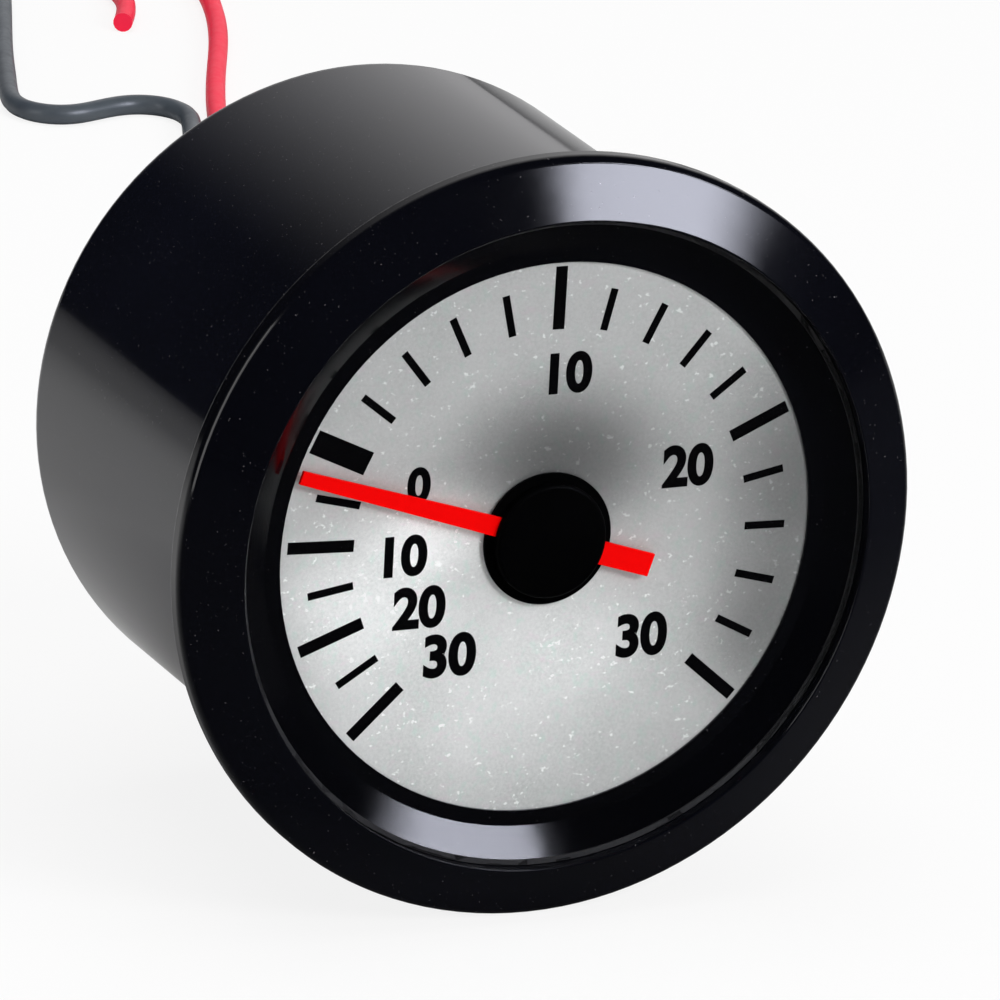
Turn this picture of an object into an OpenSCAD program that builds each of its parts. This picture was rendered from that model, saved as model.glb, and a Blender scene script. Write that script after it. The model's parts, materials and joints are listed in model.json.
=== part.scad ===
// Panel gauge for manifold pressure, 52 mm, with its Bourdon tube movement and dial lamp.
// The axis runs along Y, the dial faces -Y and +Z is up. The origin is on the axis, in the
// plane of the bezel's rear shoulder, which is the face that meets the panel.

/* [Case] */
// Outer radius of the barrel
barrel_r = 26; // [24:0.5:30]
// Length of the barrel behind the bezel's shoulder
barrel_len = 38.5; // [36:0.5:60]
// Thickness of the drawn side wall
case_wall = 0.8; // [0.6:0.1:1.2]
// Thickness of the back
back_wall = 1.2; // [0.8:0.1:2]
// Outer radius of the rounded rear edge
case_corner_r = 1.5; // [1:0.1:2.5]
// How far the front flange stands out from the barrel
flange_out = 1.3; // [0.8:0.1:1.6]
// Thickness of the front flange
flange_t = 0.6; // [0.4:0.1:0.8]
// How far the tabs that carry the light ring reach inwards
tab_in = 1.2; // [0.8:0.1:1.6]
// Width and depth of each tab
tab_w = 2.4; // [1.5:0.1:4]
// How far the neck under the bezel's lip is drawn in from the barrel
neck_in = 0.3; // [0.1:0.05:0.5]
// Length of the neck behind the bezel's shoulder
neck_len = 0.3; // [0.2:0.1:1.5]

/* [Bezel] */
// How far the bezel stands out from the barrel
bezel_out = 4; // [3:0.1:10]
// Depth from the shoulder to the crest
bezel_depth = 4; // [3.6:0.1:6]
// Distance from the glass' edge out to the crest, the ring that stands furthest forward
crest_out = 0.3; // [0.2:0.05:0.7]
// Height of the straight side above the shoulder
bezel_side = 1; // [0.6:0.1:1.4]
// Radius of the outer front edge
bezel_edge_r = 1; // [0.5:0.1:1.4]
// Radius of the softened rear edge
shoulder_edge_r = 0.2; // [0.1:0.05:0.4]
// Thickness of the lip rolled behind the case's flange
crimp_t = 0.8; // [0.5:0.1:1]

/* [Lens and dial] */
// How far the glass' edge lies inside the barrel's outer radius
lens_in = 0.5; // [0.5:0.1:1]
// Thickness of the glass
lens_t = 0.9; // [0.6:0.1:1.2]
// How far the glass lies behind the crest
lens_set = 0.1; // [0:0.05:0.3]
// Thickness of the rubber ring behind the glass
gasket_t = 0.2; // [0.1:0.05:0.4]
// Width of the rubber ring
gasket_w = 0.4; // [0.3:0.05:0.8]
// Distance from the shoulder forward to the dial's face
dial_set = 1.2; // [1:0.05:1.3]
// Thickness of the dial
dial_t = 0.5; // [0.3:0.1:1]
// Width of the surround's sloping face, with the part under the glass' rubber ring
slope_w = 2.6; // [1.2:0.1:3]
// Width of the surround's flat lip on the dial
lip_w = 1.2; // [0.3:0.1:2]
// Thickness of the flat lip that lies on the dial
lip_t = 0.2; // [0.1:0.05:0.3]
// Radius of the hole in the dial's middle
dial_hole_r = 2; // [1.8:0.1:3]
// Depth of the white ring behind the dial
light_ring_t = 2; // [1:0.1:2.4]
// Width of the white ring
light_ring_w = 2.35; // [1.6:0.05:4]

/* [Pointer] */
// Where the pointer stands, clockwise from the top of the dial
pointer_clock = -72; // [-130:1:130]
// Lowest place of the pointer against its stop, clockwise from the top
pointer_low = -134; // [-135:1:-130]
// Highest place of the pointer against its stop, clockwise from the top
pointer_high = 132; // [130:1:135]
// Distance from the tip to the surround's lip
tip_gap = 0.2; // [0.1:0.1:6]
// Width at the tip
pointer_tip_w = 1.05; // [0.5:0.05:1.3]
// Width beside the hub
pointer_root_w = 1.5; // [1:0.05:2]
// Length from the axis to the end of the tail
tail_len = 9; // [7:0.1:12]
// Width of the tail
tail_w = 1.8; // [1.4:0.1:2.4]
// Thickness of the pointer
pointer_t = 0.3; // [0.2:0.05:0.35]
// Radius of the hub's disc
hub_r = 5.2; // [4.8:0.1:6.5]
// Thickness of the hub's disc
hub_t = 0.2; // [0.15:0.05:0.25]
// Gap between the dial and the hub's disc
hub_gap = 0.2; // [0.1:0.05:0.3]
// Radius of the cap over the pointer's middle
cap_r = 4.5; // [4:0.1:4.7]
// Thickness of the cap over the pointer
cap_t = 0.6; // [0.4:0.05:0.65]
// Radius of the boss that holds the arbor
boss_r = 1.4; // [1.1:0.1:1.5]
// Length of the boss behind the hub's disc
boss_len = 1.8; // [1.4:0.1:2.4]

/* [Gears] */
// Distance from the case's inner wall to the sector's pivot
pivot_set = 10.8; // [10:0.1:11.5]
// Teeth of the pinion
pinion_teeth = 12; // [12:1:14]
// Teeth that the sector would have as a whole wheel
sector_teeth = 84; // [80:1:88]
// Pressure angle of the teeth
pressure_angle = 25; // [23:0.5:27]
// How much thinner each tooth is than half of the teeth's pitch
tooth_play = 0.04; // [0.03:0.01:0.08]
// Face width of the pinion
pinion_w = 1.8; // [1.4:0.1:2.2]
// Thickness of the sector
sector_t = 1; // [0.6:0.1:1.2]
// Where the sector's pivot stands, clockwise from the top
pivot_clock = 127; // [125:1:130]
// Radius of the sector's hub
sector_hub_r = 1.8; // [1.4:0.1:2.2]
// Width of the rim behind the sector's teeth
sector_rim = 1.2; // [0.8:0.1:1.8]
// Width of the sector's arms
arm_w = 1.3; // [1:0.1:1.8]
// Radius of the pinion's arbor
pinion_arbor_r = 0.5; // [0.4:0.05:0.6]
// Radius of the sector's arbor
sector_arbor_r = 0.6; // [0.5:0.05:0.8]
// Radius of the two pins that stop the sector
stop_r = 0.6; // [0.5:0.05:0.8]
// Distance of the stop pins from the sector's pivot
stop_reach = 8; // [7:0.1:8.5]

/* [Linkage] */
// Length of the sector's tail, from its pivot to its pin
tail_reach = 4; // [3.6:0.1:4.4]
// Thickness of the tail
sector_tail_t = 0.7; // [0.5:0.1:0.8]
// Length of the link between its pins
link_len = 9.5; // [8.5:0.1:10.5]
// Thickness of the link
link_t = 0.5; // [0.4:0.05:0.6]
// Width of the link
link_w = 1.5; // [1.2:0.1:1.8]
// Radius of the link's pins
pin_r = 0.35; // [0.3:0.05:0.4]
// Radius of the pins' heads
pin_head_r = 0.75; // [0.6:0.05:0.9]
// Play of the link's hole on the tail's pin
link_play = 0.16; // [0.15:0.01:0.2]

/* [Bourdon tube] */
// Gap between the case's inner wall and the tube's socket and end cap
tube_room = 2.5; // [1.5:0.1:3]
// Angle that the free tube spans
tube_arc = 250; // [245:1:255]
// Where the tube leaves its socket, clockwise from the top
tube_clock = 197; // [195:1:200]
// Width of the flattened tube along the axis
tube_w = 7; // [6:0.1:8]
// Thickness of the flattened tube across its curve
tube_t = 2.2; // [1.8:0.1:2.6]
// Wall of the tube
tube_wall = 0.3; // [0.2:0.05:0.4]
// Angle that the tube reaches into its socket and its end cap
tube_grip = 3; // [2:0.5:4]

/* [Movement plates] */
// Distance from the shoulder back to the front plate
plate_set = 3; // [2.9:0.1:3.4]
// Thickness of the front plate
front_plate_t = 0.8; // [0.6:0.1:1]
// Thickness of the back plate
back_plate_t = 1; // [0.8:0.1:1.2]
// Distance between the plates
plate_gap = 6.2; // [6:0.1:6.6]
// Half width of the plates
plate_half_w = 8.5; // [8.3:0.1:9]
// Reach of the plates from the pinion, away from the sector's pivot
plate_back = 7.5; // [7:0.1:8]
// Reach of the plates beyond the sector's pivot
plate_front = 6; // [5.8:0.1:6.4]
// Radius of the plates' corners
plate_corner_r = 3; // [2:0.1:4]
// Radius of the pillars
pillar_r = 1.6; // [1.4:0.1:1.8]
// Radius of the movement's screws
screw_r = 0.7; // [0.6:0.05:0.8]
// Radius of the screws' heads
screw_head_r = 1.4; // [1.2:0.1:1.5]
// Height of the screws' heads
screw_head_t = 0.5; // [0.4:0.05:0.6]
// Length of the screws' threads
screw_len = 2.4; // [2:0.1:2.8]
// Width of the slot in each screw's head
slot_w = 0.35; // [0.25:0.05:0.4]

/* [Hairspring] */
// Turns of the hairspring
spring_turns = 5.5; // [4.5:0.5:5.5]
// Step from one turn to the next
spring_pitch = 0.6; // [0.58:0.01:0.62]
// Thickness of the spring's strip
spring_t = 0.12; // [0.08:0.01:0.15]
// Height of the spring's strip
spring_h = 0.5; // [0.3:0.05:0.7]
// Radius of the collet on the pinion's arbor
collet_r = 1.2; // [1:0.05:1.3]
// Height of the collet
collet_h = 1; // [0.8:0.1:1.2]
// Radius of the post at the spring's outer end
spring_post_r = 0.5; // [0.4:0.05:0.6]

/* [Pressure socket] */
// Outer radius of the threaded stem
stem_r = 5.14; // [4.8:0.01:5.3]
// Length of the stem behind the case
stem_len = 14; // [12.5:0.5:20]
// Depth of the bevel at the stem's end
stem_bevel = 0.7; // [0.4:0.1:1]
// Width of the groove that ends the stem's nut thread
groove_w = 1; // [0.6:0.1:1.4]
// Depth of that groove
groove_deep = 0.4; // [0.2:0.1:0.8]
// Radius of the port's bore
port_r = 1.2; // [0.8:0.1:1.6]
// Radius of the socket's head and foot
socket_r = 8; // [7.5:0.1:8.4]
// Radius of the socket's waist
waist_r = 5.5; // [5:0.1:6]
// Length of the socket's foot
foot_len = 5.5; // [4:0.1:7]
// Length of the socket's head
head_len = 7.5; // [7:0.1:8]
// Room between the movement's back plate and the socket's head
linkage_room = 3.5; // [3.4:0.1:3.8]
// Radius of the two posts that carry the movement
post_r = 2.2; // [1.8:0.1:2.4]
// Distance from the axis to each post
post_reach = 5.5; // [5.2:0.1:5.8]
// Width of the arm that holds the tube
socket_arm_w = 6; // [5:0.1:7]
// Metal round the tube in its socket and end cap
tube_seat = 1.1; // [0.8:0.1:1.4]
// Thickness of the seal inside the case
socket_seal_t = 0.5; // [0.3:0.1:0.8]
// Thickness of the washer under the stem's nut
stem_washer_t = 0.8; // [0.6:0.1:1.2]
// Outer radius of the washer under the stem's nut
stem_washer_r = 7.6; // [7:0.1:8]
// Width across the flats of the stem's nut
stem_nut_af = 13; // [12.5:0.1:14]
// Height of the stem's nut
stem_nut_h = 4; // [3:0.5:5]

/* [Rear studs] */
// Radius of the studs
stud_r = 2; // [1.5:0.5:2.5]
// Length of the studs behind the case
stud_len = 14; // [10:0.5:22]
// Distance from the case's inner wall to each stud's axis
stud_set = 8.2; // [7.5:0.1:9]
// Width of the groove that ends each stud's nut thread
stud_groove_w = 0.6; // [0.4:0.1:1]
// Depth of that groove
stud_groove_deep = 0.3; // [0.1:0.05:0.5]
// Radius of the studs' heads inside the case
stud_head_r = 3.5; // [3:0.1:4]
// Thickness of the studs' heads
stud_head_t = 1.2; // [0.8:0.1:1.5]
// Outer radius of the studs' washers
stud_washer_r = 4.2; // [3.5:0.1:4.5]
// Thickness of the studs' washers
stud_washer_t = 0.8; // [0.6:0.1:1]
// Width across the flats of the studs' nuts
stud_nut_af = 7; // [6:0.1:8]
// Height of the studs' nuts
stud_nut_h = 3.2; // [2.4:0.1:5]

/* [Dial lamp] */
// Where the lamp stands, clockwise from the top
lamp_clock = 135; // [130:1:140]
// Gap between the lamp socket's flange and the washer of the stem
lamp_gap = 2.2; // [1.8:0.1:2.6]
// Radius of the lamp socket's body
lamp_body_r = 4.3; // [4:0.1:4.5]
// Radius of the lamp socket's flange
lamp_flange_r = 5.2; // [4.8:0.1:5.4]
// Thickness of the lamp socket's flange
lamp_flange_t = 1.8; // [1.2:0.1:2.5]
// Depth of the lamp socket inside the case
lamp_depth = 6.3; // [6:0.1:8]
// Radius of the lamp socket's rear neck
lamp_neck_r = 3.2; // [2.9:0.1:3.6]
// Length of the lamp socket's rear neck
lamp_neck_len = 3; // [2:0.1:4]
// Thickness of the rubber seal under the flange
lamp_seal_t = 0.8; // [0.5:0.1:1]
// Radius of the glass bulb
bulb_r = 2.5; // [2.2:0.1:2.6]
// Length of the glass bulb in front of its socket
bulb_len = 12.5; // [10:0.5:14]
// Wall of the glass bulb
bulb_wall = 0.4; // [0.3:0.05:0.5]
// Width of the bulb's wedge base
wedge_w = 4.4; // [4:0.1:4.6]
// Thickness of the bulb's wedge base
wedge_t = 1.8; // [1.5:0.1:2]
// Length of the bulb's wedge base
wedge_len = 5; // [4:0.1:5.4]
// Thickness of the contact strips
contact_t = 0.3; // [0.2:0.05:0.4]
// Width of the contact strips
contact_w = 2; // [1.5:0.1:2.6]
// Radius of the filament and its two supports
filament_r = 0.12; // [0.08:0.01:0.2]
// Width of the lug that locks the socket behind the back
lug_w = 1.6; // [1.2:0.1:2]
// How far the lugs stand out from the socket's body
lug_out = 1; // [0.8:0.1:1.2]

/* [Leads] */
// Diameter of the two leads
lead_d = 1.8; // [1.2:0.1:1.8]
// Distance between the leads where they leave the boot
lead_gap = 2.2; // [2:0.1:2.6]
// Length of the rubber boot round the leads
boot_len = 5; // [4:0.5:8]
// Radius of the boot's rear end
boot_end_r = 2.3; // [2:0.1:2.6]

/* [Hidden] */

// Segments of a full circle
$fn = 96;
// Overrun of every cut past the faces that it opens
over = 1;
// Clearance of pieces that are fitted together and don't move
fit = 0.05;
// Radial clearance of an arbor or pin that turns in its hole
run = 0.04;

// Faces along the axis, from the glass to the back
lens_y = lens_set - bezel_depth;
gasket_y = lens_y + lens_t;
surround_y = gasket_y + gasket_t;
dial_y = -dial_set;
light_ring_y = dial_y + dial_t;
tab_y = light_ring_y + light_ring_t;
case_front_y = -crimp_t - flange_t;
back_inner_y = barrel_len - back_wall;
case_bore_r = barrel_r - case_wall;
neck_r = barrel_r - neck_in;
flange_r = barrel_r + flange_out;
bezel_r = barrel_r + bezel_out;
lens_r = barrel_r - lens_in;
crest_r = lens_r + crest_out;
surround_r = lens_r - slope_w;
dial_open_r = surround_r - lip_w;
light_ring_r = case_bore_r - fit - light_ring_w;
pointer_len = dial_open_r - tip_gap;
hub_y = dial_y - hub_gap - hub_t;
pointer_y = hub_y - pointer_t;
cap_y = pointer_y - cap_t;
plate_y = plate_set + front_plate_t;
back_plate_y = plate_y + plate_gap;
socket_plate_y = back_plate_y + back_plate_t;
socket_y = socket_plate_y + linkage_room;

// Gears
pivot_run = case_bore_r - pivot_set;
gear_module = 2 * pivot_run / (pinion_teeth + sector_teeth);
pinion_pitch_r = gear_module * pinion_teeth / 2;
sector_pitch_r = gear_module * sector_teeth / 2;
gear_ratio = sector_teeth / pinion_teeth;
addendum_share = 0.9;
dedendum_share = 1.2;
mid_turn = (pointer_low + pointer_high) / 2 - pointer_clock;
half_swing = (pointer_high - pointer_low) / 2 / gear_ratio;
tooth_step = 360 / sector_teeth;
mesh_spare_share = 1.5;
sector_half_teeth = ceil(half_swing / tooth_step + mesh_spare_share);
sector_mid = mid_turn / gear_ratio;
sector_first = round(sector_mid / tooth_step) - sector_half_teeth;
sector_last = sector_first + 2 * sector_half_teeth;
pivot = clock(pivot_run, pivot_clock);
mesh_angle = 90 - pivot_clock;
sector_y = plate_y + pinion_w;
pinion_y = sector_y - (pinion_w - sector_t) / 2;
collet_y = pinion_y + pinion_w + (pinion_w - sector_t) / 2;
spring_y = collet_y + (collet_h - spring_h) / 2;

// Linkage, in the pose that the gauge is stored in
tail_mid_angle = 0;
tail_angle = tail_mid_angle - sector_mid;
tail_pin_at = pivot + tail_reach * [cos(tail_angle), sin(tail_angle)];
link_pin_at = tail_pin_at + [0, link_len];
sector_tail_y = socket_plate_y + 2 * (linkage_room / 10);
link_y = sector_tail_y + sector_tail_t + linkage_room / 10;
tube_cap_y = link_y + link_t + linkage_room / 20;
pin_lift = linkage_room / 20;
pin_head_t = pin_lift * 2;
tube_r = case_bore_r - tube_room - tube_seat - tube_t / 2;
tube_mid_y = tube_cap_y + tube_seat + tube_w / 2;
tube_end_clock = tube_clock + tube_arc;
tube_lug_t = tube_seat;

// Places in the movement, along and across the line from the pinion to the sector's pivot
pillar_inset = pillar_r + screw_r;
pillar_places = [
    [-plate_back + pillar_inset, plate_half_w - pillar_inset],
    [-plate_back + pillar_inset, -plate_half_w + pillar_inset],
    [pivot_run + plate_front - pillar_inset + fit, 0]];
post_places = [[0, post_reach], [0, -post_reach]];

// Places on the back
lamp_reach = stem_washer_r + lamp_gap + lamp_flange_r;
lamp_at = clock(lamp_reach, lamp_clock);
stud_reach = case_bore_r - stud_set;
stud_places = [[-stud_reach, 0], [stud_reach, 0]];
lamp_front_y = back_inner_y - lamp_depth;
lamp_flange_y = barrel_len + lamp_seal_t;
lamp_neck_y = lamp_flange_y + lamp_flange_t;
boot_y = lamp_neck_y + lamp_neck_len;
lead_y = boot_y + boot_len;
lead_r = lead_d / 2;
lead_sides = 8;

// Free route of each lead from the boot back to the surface that the bezel's lowest point
// touches, and along it; the first point is the end of the boot
lay_z = -29.1;
red_exit = [lamp_at[0] + lead_gap / 2, lead_y, lamp_at[1]];
black_exit = [lamp_at[0] - lead_gap / 2, lead_y, lamp_at[1]];
red_route = [
    [11.8, 55, -12.2], [11.9, 59, -15.8], [12, 62, -20], [12.2, 65, -24.2], [12.6, 68.6, -27.4],
    [13.4, 73, -28.9], [15, 78.5, lay_z], [17.6, 86, lay_z], [21, 96, lay_z], [24.8, 107, lay_z],
    [28.8, 118.5, lay_z], [33, 130, lay_z], [37.2, 142, lay_z], [41.4, 154.5, lay_z],
    [45.4, 167, lay_z], [49.2, 178.5, lay_z], [52.7, 188.5, lay_z], [55.9, 197.7, lay_z],
    [58.5, 204.3, lay_z], [61.4, 211.1, lay_z], [64.3, 217.6, lay_z], [66.9, 224.2, lay_z],
    [68.9, 230.5, lay_z], [70.2, 235.6, lay_z], [70.3, 238.6, lay_z], [69.4, 241.2, lay_z],
    [67.2, 242.7, lay_z], [64.5, 242.5, lay_z], [62.5, 240.7, lay_z], [61.9, 238, lay_z],
    [61.8, 234.5, lay_z], [60.6, 230.6, lay_z], [58.6, 226.9, lay_z]];
black_route = [
    [9.3, 55, -12.2], [9.2, 59, -15.8], [9.2, 62, -20], [9.3, 65, -24.2], [9.6, 68.6, -27.4],
    [10.3, 73, -28.9], [11.8, 78.5, lay_z], [14.4, 86, lay_z], [17.9, 96, lay_z],
    [21.8, 107, lay_z], [26, 118.5, lay_z], [30.3, 130, lay_z], [34.6, 142, lay_z],
    [38.9, 154.5, lay_z], [43, 167, lay_z], [46.7, 178.5, lay_z], [49.9, 188.3, lay_z],
    [51.9, 193.6, lay_z], [53.2, 197, lay_z], [53, 199.8, lay_z], [51.5, 201.8, lay_z],
    [49, 202.5, lay_z], [46.2, 201.6, lay_z], [43.6, 200.6, lay_z], [41.3, 201, lay_z],
    [39.6, 202.8, lay_z], [39.2, 205.4, lay_z], [40.2, 208.9, lay_z], [41.8, 213.3, lay_z],
    [43.9, 219.4, lay_z], [46.4, 226, lay_z],
    [48.9, 232.4, lay_z], [51.4, 239, lay_z], [54, 246, lay_z]];

// Place at a distance from the axis and an angle clockwise from the top, as [x, z]
function clock(r, a) = [r * sin(a), r * cos(a)];

// Points of an arc in a turned outline
function arc(at, r, a, b, steps = 10) =
    [for (i = [0 : steps]) at + r * [cos(a + (b - a) * i / steps), sin(a + (b - a) * i / steps)]];

// Involute angle of a pressure angle, in degrees
function involute(a) = tan(a) * 180 / PI - a;

// Half angle of a tooth at radius r
function tooth_half(pitch_r, teeth, r) =
    let (base_r = pitch_r * cos(pressure_angle))
    90 / teeth - tooth_play / 2 / pitch_r * 180 / PI + involute(pressure_angle)
        - involute(acos(min(1, base_r / max(r, base_r))));

// Outline of one tooth that points along the angle mid, from its root to its root
function tooth(pitch_r, teeth, mid, steps = 4) =
    let (
        base_r = pitch_r * cos(pressure_angle),
        root_r = pitch_r - dedendum_share * gear_module,
        tip_r = pitch_r + addendum_share * gear_module,
        low_r = max(base_r, root_r),
        radii = concat(root_r < base_r ? [root_r] : [],
            [for (i = [0 : steps]) low_r + (tip_r - low_r) * i / steps]),
        side = [for (r = radii) [r, tooth_half(pitch_r, teeth, r)]])
    concat(
        [for (p = side) p[0] * [cos(mid - p[1]), sin(mid - p[1])]],
        [for (i = [len(side) - 1 : -1 : 0])
            side[i][0] * [cos(mid + side[i][1]), sin(mid + side[i][1])]]);

// Flat piece between y and y + t, drawn in x and z as seen from the dial's side
module slab(y, t) {
    translate([0, y + t, 0]) rotate([90, 0, 0]) linear_extrude(t) children();
}

// Round piece about the axis, drawn in radius and y
module turned() {
    rotate([-90, 0, 0]) rotate_extrude() children();
}

// Part of a ring about the axis from one clock angle onwards, drawn in radius and y
module ring_part(from, angle) {
    rotate([0, from - 90, 0]) rotate([-90, 0, 0]) rotate_extrude(angle = angle) children();
}

// Round bar along the axis' direction at a place [x, z]
module bar(at, y, len, r) {
    translate([at[0], y, at[1]]) rotate([-90, 0, 0]) cylinder(r = r, h = len);
}

// Places the drawing's x along the line from the pinion to the sector's pivot
module movement_place(p) {
    rotate(mesh_angle) translate(p) children();
}

// Turns a point of the movement's own frame into [x, z]
function movement_at(p) = [
    p[0] * cos(mesh_angle) - p[1] * sin(mesh_angle),
    p[0] * sin(mesh_angle) + p[1] * cos(mesh_angle)];

// Flat bar with round ends between two points
module strap(a, b, w) {
    d = b - a;
    translate(a) circle(w / 2);
    translate(b) circle(w / 2);
    translate(a) rotate(atan2(d[1], d[0])) translate([0, -w / 2]) square([norm(d), w]);
}

// Hexagon nut with bevelled corners, along the axis' direction
module hex_nut(at, y, h, af, bore_r) {
    corner_r = af / sqrt(3);
    bevel = corner_r - af / 2;
    translate([at[0], y, at[1]]) rotate([-90, 0, 0]) difference() {
        intersection() {
            cylinder(r = corner_r, h = h, $fn = 6);
            rotate_extrude() polygon([
                [0, 0], [corner_r - bevel, 0], [corner_r, bevel / 2], [corner_r, h - bevel / 2],
                [corner_r - bevel, h], [0, h]]);
        }
        translate([0, 0, -over]) cylinder(r = bore_r, h = h + 2 * over);
    }
}

// Slotted screw whose head's bearing face is at y; dir is 1 when the thread runs backwards
module slot_screw(at, y, dir) {
    head_y = dir > 0 ? y - screw_head_t : y;
    slot_y = dir > 0 ? head_y - over : head_y + screw_head_t / 2;
    difference() {
        union() {
            bar(at, head_y, screw_head_t, screw_head_r);
            bar(at, dir > 0 ? y - fit : y - screw_len, screw_len + fit, screw_r);
        }
        slab(slot_y, over + screw_head_t / 2) translate(at)
            square([2 * screw_head_r + over, slot_w], center = true);
    }
}

// Drawn steel can with its front flange, the tabs that carry the light ring and the rear holes
module case_shell() {
    color("black") difference() {
        union() {
            turned() polygon(concat(
                [[case_bore_r, case_front_y], [flange_r, case_front_y], [flange_r, -crimp_t],
                    [neck_r, -crimp_t], [neck_r, neck_len], [barrel_r, neck_len]],
                arc([barrel_r - case_corner_r, barrel_len - case_corner_r], case_corner_r, 0, 90),
                [[0, barrel_len], [0, back_inner_y]],
                arc([case_bore_r - case_corner_r + case_wall, back_inner_y - case_corner_r + case_wall],
                    case_corner_r - case_wall, 90, 0)));
            for (i = [0 : 2]) rotate([0, 120 * i, 0])
                translate([case_bore_r - tab_in, tab_y, -tab_w / 2])
                    cube([tab_in + case_wall / 2, tab_w / 2, tab_w]);
        }
        bar([0, 0], back_inner_y - over, back_wall + 2 * over, stem_r + fit);
        bar(lamp_at, back_inner_y - over, back_wall + 2 * over, lamp_body_r + fit);
        slab(back_inner_y - over, back_wall + 2 * over) translate(lamp_at)
            square([lug_w + 2 * fit, 2 * (lamp_body_r + lug_out + fit)], center = true);
        for (p = stud_places) bar(p, back_inner_y - over, back_wall + 2 * over, stud_r + fit);
    }
}

// Ring rolled over the case's flange: straight side, rounded edge, slope to the crest
module bezel_ring() {
    edge_at = [bezel_r - bezel_edge_r, -bezel_side];
    crest = [crest_r, -bezel_depth];
    way = crest - edge_at;
    tangent = atan2(way[1], way[0]) + acos(bezel_edge_r / norm(way));
    bore_r = lens_r + fit;
    crest_soft = (crest_r - bore_r) / 2;
    color("black") turned() polygon(concat(
        [[barrel_r + fit, 0]],
        arc([bezel_r - shoulder_edge_r, -shoulder_edge_r], shoulder_edge_r, 90, 0, 4),
        arc(edge_at, bezel_edge_r, 0, tangent, 12),
        arc(crest + [-crest_soft, crest_soft], crest_soft, tangent, -180, 6),
        [[bore_r, case_front_y], [flange_r + fit, case_front_y], [flange_r + fit, -crimp_t],
            [neck_r + fit, -crimp_t]]));
}

// Flat glass bonded inside the crest
module lens() {
    bevel = lens_set;
    color([0.9, 0.95, 1, 0.3]) turned() polygon([
        [0, lens_y], [lens_r - bevel, lens_y], [lens_r, lens_y + bevel],
        [lens_r, lens_y + lens_t], [0, lens_y + lens_t]]);
}

// Rubber ring between the glass and the surround
module lens_gasket() {
    color("dimgray") turned()
        translate([lens_r - gasket_w, gasket_y]) square([gasket_w, gasket_t]);
}

// Black ring that slopes from the glass down to a flat lip on the dial
module dial_surround() {
    color("black") turned() polygon([
        [lens_r, surround_y], [lens_r, case_front_y], [case_bore_r - fit, case_front_y],
        [case_bore_r - fit, dial_y], [dial_open_r, dial_y], [dial_open_r, dial_y - lip_t],
        [surround_r, dial_y - lip_t], [lens_r - gasket_w, surround_y]]);
}

// Metal dial, clamped between the surround and the light ring
module dial_plate() {
    color("silver") turned()
        translate([dial_hole_r, dial_y]) square([case_bore_r - fit - dial_hole_r, dial_t]);
}

// White ring that carries the dial and passes the lamp's light to its edge
module light_ring() {
    color("white") turned()
        translate([light_ring_r, light_ring_y])
            square([case_bore_r - fit - light_ring_r, light_ring_t]);
}

// Red blade and tail, drawn pointing along +x before it is turned to its place
module pointer() {
    color("red") slab(pointer_y, pointer_t) rotate(90 - pointer_clock) difference() {
        union() {
            polygon([
                [-hub_r, -pointer_root_w / 2], [hub_r, -pointer_root_w / 2],
                [pointer_len, -pointer_tip_w / 2], [pointer_len, pointer_tip_w / 2],
                [hub_r, pointer_root_w / 2], [-hub_r, pointer_root_w / 2]]);
            translate([-tail_len, -tail_w / 2]) square([tail_len - cap_r - fit, tail_w]);
        }
        circle(pinion_arbor_r + fit);
    }
}

// Disc under the pointer with the boss that grips the arbor
module pointer_hub() {
    color("black") turned() polygon([
        [pinion_arbor_r + fit / 2, hub_y], [hub_r, hub_y], [hub_r, hub_y + hub_t],
        [boss_r, hub_y + hub_t], [boss_r, hub_y + hub_t + boss_len],
        [pinion_arbor_r + fit / 2, hub_y + hub_t + boss_len]]);
}

// Cap over the pointer's middle, slotted for the blade and bored for the arbor's end
module hub_cap() {
    soft = cap_t / 2;
    color("black") difference() {
        turned() polygon(concat(
            [[0, hub_y], [0, cap_y]],
            arc([cap_r - soft, cap_y + soft], soft, -90, 0, 6),
            [[cap_r, hub_y]]));
        slab(pointer_y - fit, pointer_t + fit + over) rotate(90 - pointer_clock)
            square([2 * cap_r + over, pointer_root_w + 2 * fit], center = true);
        bar([0, 0], pointer_y - cap_t / 2, cap_t / 2 + over, pinion_arbor_r + fit);
    }
}

// Arbor of the pointer with its pinion
module pinion_arbor() {
    front_y = pointer_y - cap_t / 4;
    back_y = socket_plate_y + screw_head_t / 2;
    color("gold") {
        bar([0, 0], front_y, back_y - front_y, pinion_arbor_r);
        slab(pinion_y, pinion_w) polygon([
            for (i = [0 : pinion_teeth - 1])
                each tooth(pinion_pitch_r, pinion_teeth, mesh_angle + 360 / pinion_teeth * i)]);
    }
}

// Collet that holds the inner end of the hairspring
module hairspring_collet() {
    color("gold") turned()
        translate([pinion_arbor_r + fit / 2, collet_y])
            square([collet_r - pinion_arbor_r - fit / 2, collet_h]);
}

spring_from_r = collet_r + spring_t / 2 + fit / 2;
spring_to_r = spring_from_r + spring_turns * spring_pitch;
spring_clock = 20;

// Radius of the hairspring's middle after a turn through angle a
function spring_radius(a) = spring_from_r + spring_pitch * a / 360;

// Flat spiral strip, wound outwards from the collet
module hairspring() {
    step = 15;
    last = spring_turns * 360;
    color("lightsteelblue") slab(spring_y, spring_h) polygon(concat(
        [for (a = [0 : step : last]) (spring_radius(a) + spring_t / 2) * [cos(a + spring_clock),
            sin(a + spring_clock)]],
        [for (a = [last : -step : 0]) (spring_radius(a) - spring_t / 2) * [cos(a + spring_clock),
            sin(a + spring_clock)]]));
}

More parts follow.
